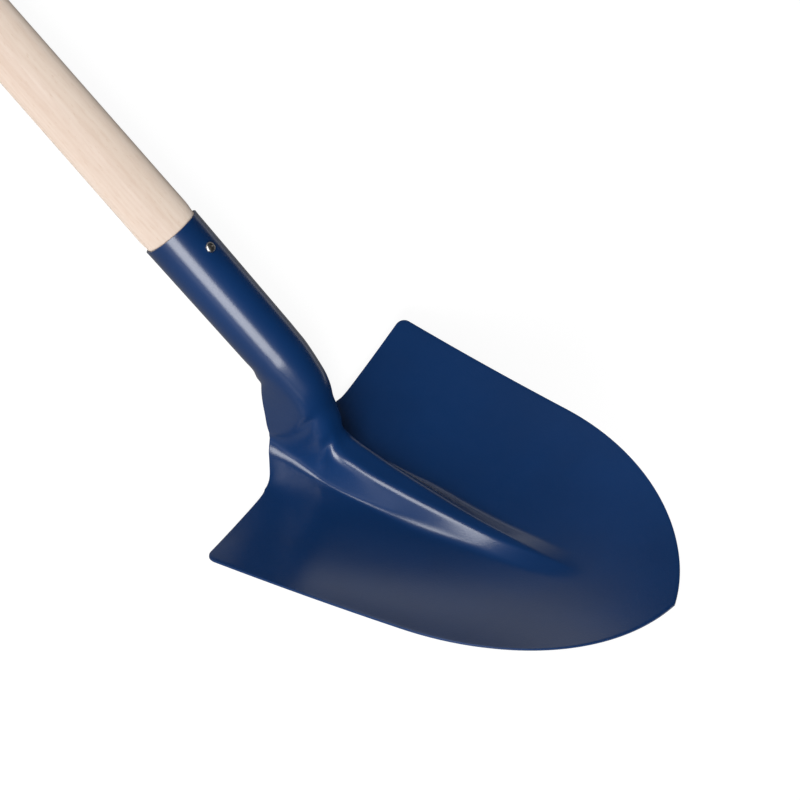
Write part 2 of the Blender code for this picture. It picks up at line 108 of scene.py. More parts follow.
# The front line of the head, seen from the side, from the end of the rib back to the socket: (x, z).
FRONT_LINE = (
    (217.5, 9.7),
    (211.0, 9.8),
    (204.0, 9.3),
    (197.0, 8.6),
    (187.0, 8.2),
    (177.0, 7.9),
    (165.0, 7.8),
    (150.0, 8.0),
    (141.0, 8.4),
    (127.0, 9.4),
    (118.0, 10.3),
    (107.0, 11.5),
    (96.0, 12.6),
    (85.0, 13.9),
    (76.0, 15.1),
    (68.0, 16.1),
    (60.0, 17.5),
    (45.0, 21.1),
    (37.0, 23.3),
    (31.5, 26.5),
    (28.3, 31.0),
    (26.0, 36.5),
    (24.0, 43.0),
    (21.5, 50.0),
    (18.2, 57.9),
    (15.4, 67.0),
    (12.5, 74.5),
    (9.5, 80.3),
    (5.2, 86.1),
    (-3.1, 95.9),
    (-18.8, 110.5),
    (-30.2, 120.2),
)

# The rib and the foot of the neck, by the place of their base along the blade:
# (place, half the flat top, radius of the shoulder, angle of the wall, radius of the foot).
RIB_BENDS = (
    (0.0, 2.8, 11.4, 85.0, 8.5),
    (10.0, 3.6, 10.6, 82.0, 7.3),
    (20.0, 4.6, 9.6, 77.0, 5.8),
    (30.0, 5.3, 8.7, 71.0, 5.0),
    (45.0, 5.4, 8.0, 64.5, 5.0),
    (60.0, 4.9, 8.3, 60.5, 5.5),
    (76.0, 4.1, 8.8, 57.0, 7.0),
    (97.0, 3.1, 9.0, 50.0, 13.0),
    (127.0, 1.9, 8.4, 41.0, 14.0),
    (141.0, 1.6, 8.0, 35.5, 15.0),
    (153.0, 1.3, 8.0, 31.0, 15.0),
    (172.0, 0.9, 8.0, 22.0, 14.0),
    (191.0, 0.4, 6.0, 12.5, 14.0),
    (204.0, 0.3, 5.0, 9.0, 12.0),
    (213.0, 0.2, 4.0, 7.0, 8.0),
)

# The neck, by the place along the socket's axis: (place, half the flat top, radius of the shoulder,
# angle of the wall, turn of the wall further down, length of the wall).
NECK_BENDS = (
    (0.0, 2.8, 11.4, 85.0, 0.0, 63.4),
    (4.5, 2.5, 11.9, 86.0, 0.0, 57.6),
    (9.0, 2.3, 12.5, 87.0, 0.0, 55.2),
    (13.0, 2.1, 12.9, 88.0, 0.0, 53.4),
    (17.0, 1.8, 13.4, 89.0, 0.0, 51.8),
    (21.0, 1.6, 14.1, 90.0, 0.0, 49.8),
    (26.0, 1.4, 14.9, 90.0, 0.0, 46.0),
    (38.0, 0.8, 16.7, 90.0, 2.0, 40.4),
    (49.0, 0.3, 18.2, 90.0, 5.0, 33.0),
    (60.0, 0.0, 19.6, 90.0, 11.0, 23.5),
    (64.0, 0.0, 20.0, 90.0, 15.5, 19.3),
    (68.0, 0.0, 20.5, 90.0, 24.0, 15.6),
    (73.0, 0.0, 21.0, 90.0, 34.0, 16.5),
    (78.0, 0.0, 20.9, 90.0, 50.0, 20.0),
    (82.0, 0.0, 21.1, 90.0, 70.0, 26.6),
    (85.0, 0.0, 21.27, 90.0, 88.4, 32.8),
)

# Behind the heel: the radius of the neck's foot, how far along the axis the neck still follows the
# blade's dish, and how far out its free edge leaves the heel line.
FOOT_RADIUS = 8.5
ROOT_END = 17.0
FREE_HEEL = 50.0

# The shallow dents that the bending leaves in the sides of the neck, each along a line:
# (x and z of its start, x and z of its end, how wide it is, how deep it is). Going out from the middle
# of the head, they grow from one place and fade from another, each over some distance.
DENTS = (
    (5.0, 38.0, 10.0, 50.0, 3.2, 1.5),
    (10.0, 50.0, 17.0, 64.0, 3.2, 0.8),
    (22.5, 12.0, 24.0, 34.0, 3.4, 1.8),
)
DENT_OUT = (4.0, 8.0)
DENT_END = (18.0, 6.0)

# How finely the sheet is laid out: points along the front line, rows across the sheet (a power over 1
# draws them together at the heel), and columns for each flat and bend, counted from the middle. Then
# how often the finished face is smoothed.
LINE_POINTS = 400
CORNER_ROWS = 7
BLADE_ROWS = 96
BLADE_ROW_POWER = 1.25
NECK_ROWS = 84
NECK_ROW_POWER = 1.2
SOCKET_ROWS = 56
BEND_COLUMNS = (3, 12, 9, 12, 12)
SIDE_COLUMNS = 24
SMOOTHINGS = 8

# A bend of the sheet by less than this, in radians, counts as flat.
NO_BEND = 1e-6

# Where the rows change along the blade: the fan of leaning rows ends at the first place, the columns
# are spread evenly at the second, to a share of the width there, and the rows bow like the nose at the
# third. On the neck the columns are drawn even from one place on, over some distance.
FAN_END = 60.0
SPREAD_FROM = 150.0
SPREAD_SHARE = 0.85
NOSE_ROW = 205.0
EVEN_FROM = 14.0
EVEN_OVER = 40.0

# The furthest each stop between two bends may be along a row of the neck, as a share of the whole row.
LAST_SHARES = (1.0, 1.0, 1.0, 0.86, 0.95, 1.0)

# The handle, along the socket's axis from the heel. It is turned down a little to enter the socket,
# where a small gap is left round it, as there is round the screw.
HANDLE_START = 93.0
HANDLE_LENGTH = 1300.0
HANDLE_RADIUS = 21.3
HANDLE_END_RADIUS = 18.0
HANDLE_END_FLAT = 11.0
HANDLE_END_ROUND = 12.0
HANDLE_STEP = 9.0
HANDLE_CHAMFER = 2.0
FIT_GAP = 0.3

# How finely the handle is laid out: facets round it, and rings along its length, its step and its end.
HANDLE_SEGMENTS = 128
HANDLE_RINGS = 40
STEP_RINGS = 8
END_RINGS = 12

# The screw through the front of the socket. The straight rim under its dome takes a share of the head's
# height. The arms of its cross slot draw in towards the bottom, to a share of their length and width.
SCREW_PLACE = 168.3
SCREW_SHANK_RADIUS = 2.0
SCREW_LENGTH = 25.0
SCREW_POINT = 4.0
SCREW_HEAD_RADIUS = 3.8
SCREW_HEAD_HEIGHT = 2.2
SCREW_RIM_SHARE = 0.25
SCREW_EDGE_RADIUS = 0.08
SCREW_SEGMENTS = 64
DOME_RINGS = 14
RECESS_WIDTH = 1.1
RECESS_LENGTH = 4.2
RECESS_DEPTH = 1.3
RECESS_TAPER = (0.5, 0.75)

# The clear hole for the screw is cut from its point to this far over the underside of its head.
HOLE_TOP = 8.0
HOLE_SEGMENTS = 48

# The angles, in degrees, over which an edge is shaded sharp, and over which it is rounded.
SHARP_ANGLE = 40.0
ROUND_ANGLE = 50.0

# The camera, in the head's own frame: where it stands, what it looks at, and how far it is rolled.
CAMERA_EYE = (742.43, -1272.68, 1756.2)
CAMERA_AIM = (41.38, 62.18, 19.34)
CAMERA_ROLL = 3.717
CAMERA_LENS = 142.25
CAMERA_SENSOR = 36.0

# The soft lamps of the studio: (name, width and height in metres, azimuth and elevation in degrees).
# All face one point of the head's own frame, and stand this many metres from it.
LAMPS = (
    ("key_light", (1.2, 1.2), -105.0, 45.0),
    ("low_light", (1.2, 1.5), -86.0, 33.0),
    ("back_light", (1.2, 0.9), -139.0, 39.0),
)
LAMP_DISTANCE = 2.6
LAMP_AIM = (60.0, 0.0, 30.0)

# The floor and the dark ceiling, in metres. Between two distances from the middle of the shovel, the floor
# fades into the background. Up to the first it keeps a share of its own colour, and past the second none.
# It also glows a little less near the shovel than far off, to the camera and still more in reflections.
FLOOR_SIZE = 30.0
FLOOR_FADE = (1.0, 2.2)
FLOOR_SHARE = 0.22
FLOOR_SEEN = (0.89, 1.0)
FLOOR_REFLECTED = (0.1, 0.9)
CEILING_SIZE = 42.0
CEILING_HEIGHT = 3.0
CEILING_COLOUR = (0.01, 0.01, 0.012)
WHITE = (1.0, 1.0, 1.0)


def read(table, at, column):
    """A column of a table at one place, along a smooth curve that doesn't swing past its entries."""
    places = [row[0] for row in table]
    sizes = [row[column] for row in table]
    if at <= places[0]:
        return sizes[0]
    if at >= places[-1]:
        return sizes[-1]
    slopes = [(sizes[k + 1] - sizes[k]) / (places[k + 1] - places[k]) for k in range(len(sizes) - 1)]
    i = max(k for k in range(len(slopes)) if places[k] <= at)

    def tangent(k):
        if k == 0 or k == len(slopes):
            return slopes[min(k, len(slopes) - 1)]
        before, after = slopes[k - 1], slopes[k]
        return 0.0 if before * after <= 0 else 2 * before * after / (before + after)

    step = places[i + 1] - places[i]
    t = (at - places[i]) / step
    return (
        (1 + 2 * t) * (1 - t) ** 2 * sizes[i]
        + t * (1 - t) ** 2 * step * tangent(i)
        + t * t * (3 - 2 * t) * sizes[i + 1]
        - t * t * (1 - t) * step * tangent(i + 1)
    )


def ease(share):
    """A share from 0 to 1 that starts and ends gently."""
    t = min(max(share, 0.0), 1.0)
    return t * t * (3 - 2 * t)


def mix(a, b, share):
    """A value between two, by a share from 0 to 1."""
    return a + (b - a) * share


def steps(start, end, count, power=1.0):
    """Values after the start and up to the end, which lie closer at the start for a power over 1."""
    return [mix(start, end, (k / count) ** power) for k in range(1, count + 1)]


def socket_radius(place):
    """The outer radius of the socket."""
    return SOCKET_RADIUS - SOCKET_TAPER * (SOCKET_MOUTH - place)


def on_axis(place, height, side=0.0):
    """A point given by its place along the socket's axis, its height square to it, and its side."""
    tilt = math.radians(SOCKET_TILT)
    x = height * math.sin(tilt) - place * math.cos(tilt)
    z = height * math.cos(tilt) + place * math.sin(tilt)
    return Vector((x, side, z))


def lying():
    """The matrix that lays a piece from the head's frame, in metres, on its back.

    The record gives the flat end of the handle and the way that it faces, as the shovel lies.
    """
    end = on_axis(HANDLE_START + HANDLE_LENGTH, SOCKET_AXIS_HEIGHT) * MM
    turn = (on_axis(1.0, 0.0) - on_axis(0.0, 0.0)).rotation_difference(Vector(HANDLE_END["axis"]))
    return Matrix.Translation(Vector(HANDLE_END["pos_m"]) - turn @ end) @ turn.to_matrix().to_4x4()


def front_line():
    """The front line as a dense smooth curve, from the rib's end to the mouth of the socket."""
    travelled = [0.0]
    for a, b in zip(FRONT_LINE, FRONT_LINE[1:]):
        travelled.append(travelled[-1] + math.dist(a, b))
    table = [(s, x, z) for s, (x, z) in zip(travelled, FRONT_LINE)]
    stops = [travelled[-1] * k / LINE_POINTS for k in range(LINE_POINTS + 1)]
    points = [(read(table, s, 1), read(table, s, 2)) for s in stops]
    mouth = on_axis(SOCKET_MOUTH, SOCKET_AXIS_HEIGHT + SOCKET_RADIUS)
    return np.array(points + [(mouth.x, mouth.z)])


LINE = front_line()


def crossing(start, tilt):
    """How far the front line is from a point (x, z), in a direction that leans back by this tilt."""
    offset = LINE - np.array(start)
    beside = offset[:, 0] * math.cos(tilt) - offset[:, 1] * math.sin(tilt)
    ahead = offset[:, 0] * math.sin(tilt) + offset[:, 1] * math.cos(tilt)
    return float(np.interp(0.0, beside[::-1], ahead[::-1]))


def nose_join():
    """Where the straight side meets the nose's ellipse, which it touches: (x, half the width)."""
    along = -NOSE_CENTRE[0] / NOSE_HALF_AXES[0]
    across = (BLADE_WIDTH / 2 - NOSE_CENTRE[1]) / NOSE_HALF_AXES[1]
    angle = math.atan2(across, along) - math.acos(1 / math.hypot(along, across))
    x = NOSE_CENTRE[0] + NOSE_HALF_AXES[0] * math.cos(angle)
    return x, NOSE_CENTRE[1] + NOSE_HALF_AXES[1] * math.sin(angle)


def half_width(x):
    """Half the width of the blade at a place along it."""
    join, join_width = nose_join()
    if x >= join:
        along = (x - NOSE_CENTRE[0]) / NOSE_HALF_AXES[0]
        return NOSE_CENTRE[1] + NOSE_HALF_AXES[1] * math.sqrt(1 - along * along)
    rounding = max(CORNER_RADIUS - x, 0.0)
    inset = CORNER_RADIUS - math.sqrt(CORNER_RADIUS**2 - rounding**2)
    return mix(BLADE_WIDTH / 2, join_width, x / join) - inset


def nose_x(y):
    """The place along the blade at which the nose is this far from the middle."""
    across = (y - NOSE_CENTRE[1]) / NOSE_HALF_AXES[1]
    return NOSE_CENTRE[0] + NOSE_HALF_AXES[0] * math.sqrt(1 - across * across)


def dish(x, y):
    """The height of the blade's face without its rib."""
    across = 2 * y / BLADE_WIDTH
    along = x / BLADE_LENGTH
    sag = SAG * math.sin(math.pi * along) ** 2 * (1 - (y / half_width(x)) ** 2)
    return SIDE_RISE * across**2 * (1 + SIDE_RISE_GAIN * along) + TIP_RISE * along**2 - sag


def walk(strip, distance):
    """Where a strip of sheet, bent part by part, is after a distance: how far out and how far down."""
    out, down, heading = 0.0, 0.0, 0.0
    for length, turn in strip:
        step = min(distance, length)
        angle = turn * step / length if length > 0 else 0.0
        if abs(angle) < NO_BEND:
            out += step * math.cos(heading)
            down += step * math.sin(heading)
        else:
            radius = step / angle
            out += radius * (math.sin(heading + angle) - math.sin(heading))
            down += radius * (math.cos(heading) - math.cos(heading + angle))
        heading += angle
        distance -= step
        if distance <= 0:
            break
    return out, down


def rib_strip(x, height):
    """The flats and bends, as (length, turn), from the top of a rib of this height to the blade's face."""
    flat, shoulder, slope, foot = (read(RIB_BENDS, x, column) for column in (1, 2, 3, 4))
    gentlest = math.acos(1 - min(height / (shoulder + foot), 1.0))
    angle = min(math.radians(slope), gentlest)
    drop = height - (shoulder + foot) * (1 - math.cos(angle))
    wall = drop / math.sin(angle) if angle > NO_BEND else 0.0
    return [(flat, 0.0), (shoulder * angle, angle), (wall, 0.0), (foot * angle, -angle)]


def column_stops(strip, width):
    """The distances along a strip at which its parts start, and the one at which it is this far out."""
    stops = [0.0]
    for length, _ in strip:
        stops.append(stops[-1] + length)
    return stops + [stops[-1] + width - walk(strip, stops[-1])[0]]


def spread(stops):
    """The distances of the columns: a few even steps for each part between two stops."""
    found = [stops[0]]
    for a, b, count in zip(stops, stops[1:], BEND_COLUMNS):
        found += steps(a, b, count)
    return found


def rib_height(x):
    """The height of the rib over the blade's face, on the blade proper."""
    return max(crossing((x, dish(x, 0.0)), 0.0), 0.0) if x < FRONT_LINE[0][0] else 0.0


def rib_drop(x, height, out):
    """How far the rib's face lies under its top, this far out from the middle."""
    strip = rib_strip(x, height)
    (flat, _), (bend, angle), (wall, _), (foot, _) = strip
    if out <= flat or angle < NO_BEND:
        return 0.0 if out <= flat else height
    shoulder_out, shoulder_down = walk(strip, flat + bend)
    if out <= shoulder_out:
        radius = bend / angle
        return radius - math.sqrt(radius**2 - (out - flat) ** 2)
    wall_out = shoulder_out + wall * math.cos(angle)
    if out <= wall_out:
        return shoulder_down + (out - shoulder_out) * math.tan(angle)
    radius = foot / angle
    left = max(wall_out + radius * math.sin(angle) - out, 0.0)
    return height - radius + math.sqrt(radius**2 - left**2)


def rib_outs(x):
    """How far out the columns are that follow the bends of the rib."""
    strip = rib_strip(x, rib_height(x))
    whole = strip + [(BLADE_WIDTH, 0.0)]
    return [walk(whole, s)[0] for s in spread(column_stops(strip, FREE_HEEL))]


def face_point(x, y):
    """A point on the face of the blade, on its rib where the rib reaches so far out."""
    height = rib_height(x)
    return Vector((x, y, dish(x, y) + height - rib_drop(x, height, y)))


def fan_row(x):
    """A row at the foot of the neck. It leans back by more, the nearer it is to the heel."""
    tilt = math.radians(SOCKET_TILT) * (1 - x / FAN_END)
    height = crossing((x, dish(x, 0.0)), tilt)
    strip = rib_strip(x, height)
    whole = strip + [(BLADE_WIDTH, 0.0)]
    row = []
    for s in spread(column_stops(strip, FREE_HEEL)):
        out, down = walk(whole, s)
        rise = max(height - down, 0.0)
        row.append(Vector((x + rise * math.sin(tilt), out, dish(x, out) + rise * math.cos(tilt))))
    for out in steps(FREE_HEEL, half_width(x), SIDE_COLUMNS):
        row.append(Vector((x, out, dish(x, out))))
    return [settled(point, x / FAN_END) for point in row]


def settled(point, gone):
    """A point near the heel line, where it bows back and the root of the neck rises.

    The bow fades as gone, the share of the way from that line, goes from 0 to 1.
    """
    beside = ease((point.y - FREE_HEEL / 2) / (FREE_HEEL / 2))
    bow = HEEL_BOW * (1 - (2 * point.y / BLADE_WIDTH) ** 2) * beside
    fill = HEEL_FILL * math.exp(-abs(point.y - FREE_HEEL) / HEEL_FILL_WIDTH)
    rise = ROOT_RISE * ease((RISE_BACK[0] - point.x) / RISE_BACK[1])
    rise *= 1 - ease((point.y - RISE_OUT[0]) / RISE_OUT[1])
    rise *= 1 - ease((point.z - RISE_UP[0]) / RISE_UP[1])
    point += Vector((-(bow + fill) * (1 - min(gone, 1.0)) ** 2, 0.0, rise))
    at = Vector((point.x, point.z))
    for x, z, end_x, end_z, width, depth in DENTS:
        start, along = Vector((x, z)), Vector((end_x - x, end_z - z))
        share = min(max((at - start).dot(along) / along.length_squared, 0.0), 1.0)
        near = math.exp(-((at - start - along * share).length_squared) / width**2)
        reach = ease((point.y - DENT_OUT[0]) / DENT_OUT[1])
        reach *= 1 - ease((point.y - DENT_END[0]) / DENT_END[1])
        point.y -= depth * near * reach
    return point


def blade_row(x):
    """A row across the blade. It bows towards the tip by more, the nearer it is to the nose."""
    side = half_width(x)
    even = ease((x - FAN_END) / (SPREAD_FROM - FAN_END))
    bulge = ease((x - FAN_END) / (NOSE_ROW - FAN_END))
    share = SPREAD_SHARE * side / half_width(SPREAD_FROM)
    outs = [mix(own, wide * share, even) for own, wide in zip(rib_outs(x), rib_outs(SPREAD_FROM))]
    outs += steps(outs[-1], side, SIDE_COLUMNS)
    ahead = [bulge * (nose_x(out / side * half_width(NOSE_ROW)) - NOSE_ROW) for out in outs]
    return [face_point(x + more, out) for more, out in zip(ahead, outs)]


def neck_strip(place):
    """The flats and bends of the neck or socket, how far its free edge is along them, and their top."""
    if place > NECK_END:
        radius = socket_radius(place)
        quarter = (radius * math.pi / 2, math.pi / 2)
        strip = [(0.0, 0.0), quarter, quarter, (0.0, 0.0)]
        return strip, radius * math.pi - SEAM_HALF_GAP, SOCKET_AXIS_HEIGHT + radius
    flat, shoulder, slope, turn, wall = (read(NECK_BENDS, place, column) for column in (1, 2, 3, 4, 5))
    angle = math.radians(slope)
    start = on_axis(place, 0.0)
    top = crossing((start.x, start.z), math.radians(SOCKET_TILT))
    depth = top + place * math.tan(math.radians(SOCKET_TILT))
    above_foot = (depth - (shoulder + FOOT_RADIUS) * (1 - math.cos(angle))) / math.sin(angle)
    strip = [(flat, 0.0), (shoulder * angle, angle)]
    if above_foot < wall:
        strip += [(above_foot, 0.0), (FOOT_RADIUS * angle, -angle)]
    else:
        strip += [(wall, math.radians(turn)), (0.0, 0.0)]
    return strip, flat + shoulder * angle + wall, top


def neck_row(place):
    """A row across the neck or round the socket, square to the socket's axis."""
    strip, edge, top = neck_strip(place)
    whole = strip + [(BLADE_WIDTH, 0.0)]
    stops = [min(s, edge * last) for s, last in zip(column_stops(strip, FREE_HEEL), LAST_SHARES)]
    own = spread(stops[:-1] + [edge])
    even = ease((place - EVEN_FROM) / EVEN_OVER)
    lift = 1 - ease(place / ROOT_END)
    row = []
    for k, distance in enumerate(own):
        out, down = walk(whole, mix(distance, edge * k / (len(own) - 1), even))
        point = on_axis(place, top - down, out) + Vector((0.0, 0.0, lift * dish(0.0, out)))
        row.append(settled(point, place / ROOT_END))
    return row


def head_rows():
    """All rows of the head's face from the nose to the mouth. Each runs from the middle to one edge."""
    corner = [CORNER_RADIUS * (1 - math.cos(math.pi / 2 * k / CORNER_ROWS)) for k in range(CORNER_ROWS + 1)]
    places = corner + steps(CORNER_RADIUS, NOSE_ROW, BLADE_ROWS, BLADE_ROW_POWER)
    rows = [fan_row(x) if x <= FAN_END else blade_row(x) for x in reversed(places)]
    places = steps(0.0, NECK_END, NECK_ROWS, NECK_ROW_POWER) + steps(NECK_END, SOCKET_MOUTH, SOCKET_ROWS)
    return rows + [neck_row(place) for place in places]


def head_face():
    """The front face of the head: a grid laid on the rows. Behind the heel only its middle is left."""
    rows = head_rows()
    half = sum(BEND_COLUMNS) + SIDE_COLUMNS
    mesh = bmesh.new()
    bmesh.ops.create_grid(mesh, x_segments=len(rows) - 1, y_segments=2 * half, size=1.0)
    spare = []
    for vertex in mesh.verts:
        i = round((vertex.co.x + 1) / 2 * (len(rows) - 1))
        j = round((vertex.co.y + 1) * half) - half
        if abs(j) >= len(rows[i]):
            spare.append(vertex)
            continue
        point = rows[i][abs(j)]
        vertex.co = Vector((point.x, math.copysign(point.y, j), point.z)) * MM
    bmesh.ops.delete(mesh, geom=spare, context="VERTS")
    inner = [vertex for vertex in mesh.verts if not vertex.is_boundary]
    for _ in range(SMOOTHINGS):
        bmesh.ops.smooth_vert(
            mesh, verts=inner, factor=0.5, use_axis_x=True, use_axis_y=True, use_axis_z=True
        )
    bmesh.ops.recalc_face_normals(mesh, faces=mesh.faces)
    if sum(face.normal.z for face in mesh.faces) < 0:
        bmesh.ops.reverse_faces(mesh, faces=mesh.faces)
    return mesh


def turned(profile, segments):
    """A solid of revolution about Z, from a (radius, height) profile that starts and ends on that axis."""
    mesh = bmesh.new()
    chain = [mesh.verts.new((radius * MM, 0.0, height * MM)) for radius, height in profile]
    edges = [mesh.edges.new(pair) for pair in zip(chain, chain[1:])]
    bmesh.ops.spin(
        mesh,
        geom=chain + edges,
        axis=(0, 0, 1),
        cent=(0, 0, 0),
        angle=2 * math.pi,
        steps=segments,
        use_merge=True,
        use_duplicate=False,
    )
    bmesh.ops.remove_doubles(mesh, verts=mesh.verts, dist=1e-6)
    bmesh.ops.recalc_face_normals(mesh, faces=mesh.faces)
    return mesh


def arc(centre, radii, start, end, count):
    """Points of an elliptic arc as (radius, height), between two angles in degrees."""
    angles = [math.radians(mix(start, end, k / count)) for k in range(count + 1)]
    return [(centre[0] + radii[0] * math.cos(a), centre[1] + radii[1] * math.sin(a)) for a in angles]


def handle_profile():
    """The handle's half outline from its end in the socket to its rounded far end."""
    mouth = SOCKET_MOUTH - HANDLE_START
    in_mouth = SOCKET_RADIUS - SHEET - FIT_GAP
    in_socket = socket_radius(HANDLE_START) - SHEET - FIT_GAP
    straight = HANDLE_LENGTH - HANDLE_END_ROUND
    profile = [(0.0, 0.0), (in_socket - HANDLE_CHAMFER, 0.0)]
    profile += [(in_socket, HANDLE_CHAMFER), (in_mouth, mouth)]
    for share in steps(0.0, 1.0, STEP_RINGS):
        profile.append((mix(in_mouth, HANDLE_RADIUS, ease(share)), mouth + HANDLE_STEP * share))
    for share in steps(0.0, 1.0, HANDLE_RINGS):
        radius = mix(HANDLE_RADIUS, HANDLE_END_RADIUS, share)
        profile.append((radius, mix(mouth + HANDLE_STEP, straight, share)))
    round_end = (HANDLE_END_RADIUS - HANDLE_END_FLAT, HANDLE_END_ROUND)
    profile += arc((HANDLE_END_FLAT, straight), round_end, 0.0, 90.0, END_RINGS)[1:]
    return profile + [(0.0, HANDLE_LENGTH)]


def screw_profile(head, height):
    """The screw's half outline from its point up to its domed head, whose underside is at zero."""
    profile = [(0.0, -SCREW_LENGTH), (SCREW_SHANK_RADIUS, SCREW_POINT - SCREW_LENGTH)]
    profile += [(SCREW_SHANK_RADIUS, 0.0), (head, 0.0)]
    rim = SCREW_RIM_SHARE * height
    dome = arc((0.0, rim), (head, height - rim), 0.0, 90.0, DOME_RINGS)
    return profile + dome[:-1] + [(0.0, height)]


def piece(name, mesh, material, node, place=Matrix.Identity(4)):
    """A finished object, laid on the ground from a mesh about its place. It stands for a CAD node."""
    bmesh.ops.transform(mesh, matrix=lying() @ place, verts=mesh.verts)
    data = bpy.data.meshes.new(name)
    mesh.to_mesh(data)
    mesh.free()
    data.materials.append(material)
    data.shade_smooth()
    data.set_sharp_from_angle(angle=math.radians(SHARP_ANGLE))
    thing = bpy.data.objects.new(name, data)
    bpy.context.scene.collection.objects.link(thing)
    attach(thing, BODY)
    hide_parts(node)
    return thing


def cut_out(thing, mesh, place):
    """Takes a shape out of an object for good."""
    bmesh.ops.transform(mesh, matrix=lying() @ place, verts=mesh.verts)
    data = bpy.data.meshes.new("cutter")
    mesh.to_mesh(data)
    mesh.free()
    cutter = bpy.data.objects.new("cutter", data)
    bpy.context.scene.collection.objects.link(cutter)
    hole = thing.modifiers.new("hole", "BOOLEAN")
    hole.operation = "DIFFERENCE"
    hole.object = cutter
    bpy.context.view_layer.update()
    graph = bpy.context.evaluated_depsgraph_get()
    old, new = thing.data, bpy.data.meshes.new_from_object(thing.evaluated_get(graph))
    thing.modifiers.clear()
    thing.data = new
    new.name = thing.name
    bpy.data.meshes.remove(old)
    bpy.data.objects.remove(cutter)
    bpy.data.meshes.remove(data)


def axis_frame(place, height, forward):
    """A frame on the socket's axis. Its Z points along the handle, or forward out of the socket."""
    turn = math.radians(SOCKET_TILT) - (0.0 if forward else math.pi / 2)
    return Matrix.Translation(on_axis(place, height) * MM) @ Matrix.Rotation(turn, 4, "Y")


def screw_seat():
    """The frame of the screw: the underside of its head, square to the socket's front."""
    return axis_frame(SCREW_PLACE, SOCKET_AXIS_HEIGHT + socket_radius(SCREW_PLACE) + FIT_GAP, True)


def screw_hole():
    """What the screw's clear hole takes out of the socket and the handle."""
    clear = SCREW_SHANK_RADIUS + FIT_GAP
    point = SCREW_POINT - SCREW_LENGTH
    profile = [(0.0, -SCREW_LENGTH - FIT_GAP), (clear, point), (clear, HOLE_TOP), (0.0, HOLE_TOP)]
    return turned(profile, HOLE_SEGMENTS)


def slot_arm(settings):
    """One arm of the screw's cross slot, about the middle of the top of its head."""
    mesh = bmesh.new()
    size = (RECESS_LENGTH * MM, settings.recess_width, 2 * RECESS_DEPTH * MM, 1.0)
    bmesh.ops.create_cube(mesh, size=1.0, matrix=Matrix.Diagonal(size))
    bottom = [vertex for vertex in mesh.verts if vertex.co.z < 0]
    bmesh.ops.scale(mesh, vec=(*RECESS_TAPER, 1.0), verts=bottom)
    return mesh


def rounded(thing, name, radius, segments):
    """Rounds the edges of an object that turn by more than ROUND_ANGLE."""
    edges = thing.modifiers.new(name, "BEVEL")
    edges.width = radius
    edges.segments = segments
    edges.limit_method = "ANGLE"
    edges.angle_limit = math.radians(ROUND_ANGLE)


def new_material(name):
    """A material with an empty surface: its node tree and its Principled BSDF."""
    material = bpy.data.materials.new(name)
    material.use_nodes = True
    return material, material.node_tree, material.node_tree.nodes["Principled BSDF"]


def add(tree, kind, inputs=None, **settings):
    """A new node. Its inputs take values, or the outputs that feed them, by name or number."""
    made = tree.nodes.new(kind)
    for name, value in settings.items():
        setattr(made, name, value)
    for name, value in (inputs or {}).items():
        if isinstance(value, bpy.types.NodeSocket):
            tree.links.new(value, made.inputs[name])
        else:
            made.inputs[name].default_value = value
    return made


def noise(tree, vector, scale, detail=3.0):
    """A noise value of 0 to 1."""
    inputs = {"Vector": vector, "Scale": scale, "Detail": detail}
    return add(tree, "ShaderNodeTexNoise", inputs).outputs["Fac"]


def ranged(tree, value, start, end, low=0.0, high=1.0):
    """A value that goes from low to high while another goes from start to end, and is held outside."""
    inputs = {"Value": value, "From Min": start, "From Max": end, "To Min": low, "To Max": high}
    return add(tree, "ShaderNodeMapRange", inputs, interpolation_type="SMOOTHSTEP").outputs["Result"]


def cloudy_group():
    """The node group of soft patches, streaks and flecks that all finishes share."""
    found = bpy.data.node_groups.get("cloudy")
    if found:
        return found
    group = bpy.data.node_groups.new("cloudy", "ShaderNodeTree")
    group.interface.new_socket("Vector", in_out="INPUT", socket_type="NodeSocketVector")
    for name in ("Scale", "Detail", "Roughness", "Start", "End", "Low", "High"):
        group.interface.new_socket(name, in_out="INPUT", socket_type="NodeSocketFloat")
    group.interface.new_socket("Value", in_out="OUTPUT", socket_type="NodeSocketFloat")
    given = group.nodes.new("NodeGroupInput").outputs
    inputs = {name: given[name] for name in ("Vector", "Scale", "Detail", "Roughness")}
    soft = add(group, "ShaderNodeTexNoise", inputs).outputs["Fac"]
    value = ranged(group, soft, given["Start"], given["End"], given["Low"], given["High"])
    group.links.new(value, group.nodes.new("NodeGroupOutput").inputs["Value"])
    return group


def cloudy(tree, vector, scale, detail, start, end, low=0.0, high=1.0, roughness=0.5):
    """Patches of noise: low where the noise is under start, and high where it is over end."""
    inputs = {"Vector": vector, "Scale": scale, "Detail": detail, "Roughness": roughness}
    inputs |= {"Start": start, "End": end, "Low": low, "High": high}
    return add(tree, "ShaderNodeGroup", inputs, node_tree=cloudy_group()).outputs["Value"]


def math_of(tree, operation, a, b):
    """A sum, product or other result of two values."""
    return add(tree, "ShaderNodeMath", {0: a, 1: b}, operation=operation).outputs["Value"]


def mapped(tree, vector, **settings):
    """A place that is turned, moved or scaled."""
    inputs = {"Vector": vector} | {name.capitalize(): value for name, value in settings.items()}
    return add(tree, "ShaderNodeMapping", inputs).outputs["Vector"]


def blended(tree, share, a, b):
    """A colour between two."""
    return add(tree, "ShaderNodeMix", {0: share, 6: a, 7: b}, data_type="RGBA").outputs[2]


def rgba(colour, share=1.0):
    """A share of a colour, with full cover."""
    return (*(channel * share for channel in colour), 1.0)


def uneven(tree, shader, height, strength, distance):
    """Gives a surface small bumps."""
    bump = add(tree, "ShaderNodeBump", {"Strength": strength, "Distance": distance, "Height": height})
    tree.links.new(bump.outputs["Normal"], shader.inputs["Normal"])


